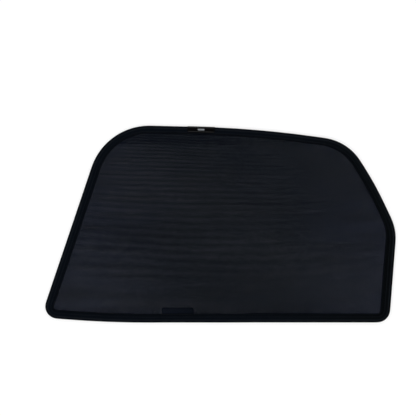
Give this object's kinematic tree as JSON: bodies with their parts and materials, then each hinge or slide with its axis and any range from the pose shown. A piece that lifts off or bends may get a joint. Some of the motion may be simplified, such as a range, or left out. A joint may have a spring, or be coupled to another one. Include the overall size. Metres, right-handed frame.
{
  "type": "car side window sunshade",
  "caption": "Dark mesh sunshade for a car's side window, in a sewn tape hem that holds a sprung wire loop and magnets, with a label on its top edge.",
  "frame": {"origin": "under the middle of the shade's box, on the back of its hem, which rests on the ground", "axes": "+X along the window's length, +Y up the window, +Z out of the shade's front"},
  "size_m": [0.8, 0.4496, 0.0073],
  "materials": {
    "tape_cloth": "matt woven polyester tape",
    "sewing_thread": "polyester thread",
    "spring_steel": "drawn spring wire",
    "crimp_metal": "crimped tube",
    "magnet_nickel": "nickel plated",
    "sun_mesh": "open knitted polyester mesh",
    "label_rubber": "glossy",
    "badge_silver": "bright satin",
    "tag_cloth": "matt woven label cloth"
  },
  "bodies": {
    "root": {"edge_binding": "tape_cloth", "seam_thread": "sewing_thread", "frame_wire": "spring_steel", "wire_sleeve": "crimp_metal", "magnet_01": "magnet_nickel", "magnet_02": "magnet_nickel", "magnet_03": "magnet_nickel", "magnet_04": "magnet_nickel", "magnet_05": "magnet_nickel", "magnet_06": "magnet_nickel", "magnet_07": "magnet_nickel", "magnet_08": "magnet_nickel", "magnet_09": "magnet_nickel", "magnet_10": "magnet_nickel", "magnet_11": "magnet_nickel", "magnet_12": "magnet_nickel", "mesh_panel": "sun_mesh", "top_label": "label_rubber", "label_badge": "badge_silver", "back_tag": "tag_cloth"}
  },
  "joints": []
}
